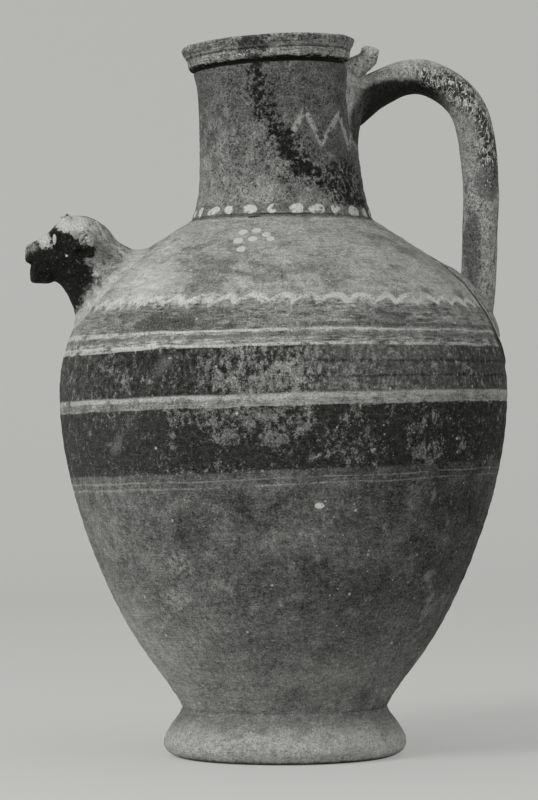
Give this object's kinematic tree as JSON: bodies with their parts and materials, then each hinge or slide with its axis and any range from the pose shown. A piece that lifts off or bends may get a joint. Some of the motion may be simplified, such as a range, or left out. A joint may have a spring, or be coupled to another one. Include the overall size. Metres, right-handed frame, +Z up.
{
  "type": "jug",
  "caption": "Ovoid wheel-thrown jug with a ring foot, collared neck, arched handle with thumb lug, and an animal-head pouring spout.",
  "frame": {"origin": "middle of the ring foot, on the surface that the jug stands on", "axes": "+Z up along the axis of the body, +X towards the handle, -X towards the spout, +Y across both"},
  "size_m": [0.2402, 0.2232, 0.3568],
  "materials": {
    "painted_body_clay": "matt fired clay with worn dark painted bands, pale lines and a dotted shoulder",
    "painted_neck_clay": "matt fired clay with worn dark paint and a pale zigzag",
    "rim_clay": "matt fired clay, worn and pitted along the lip",
    "foot_clay": "matt pale fired clay, rubbed along the edge",
    "handle_clay": "matt fired clay with patchy dark paint",
    "spout_clay": "matt fired clay with a dark painted face and pale brow"
  },
  "bodies": {
    "root": {"body": "painted_body_clay", "foot_ring": "foot_clay", "neck": "painted_neck_clay", "rim_collar": "rim_clay", "handle": "handle_clay", "handle_upper_pad": "handle_clay", "handle_lower_pad": "handle_clay", "thumb_lug": "handle_clay", "spout_head": "spout_clay", "spout_collar": "spout_clay", "left_ear": "spout_clay", "right_ear": "spout_clay", "left_horn": "spout_clay", "right_horn": "spout_clay"}
  },
  "joints": []
}
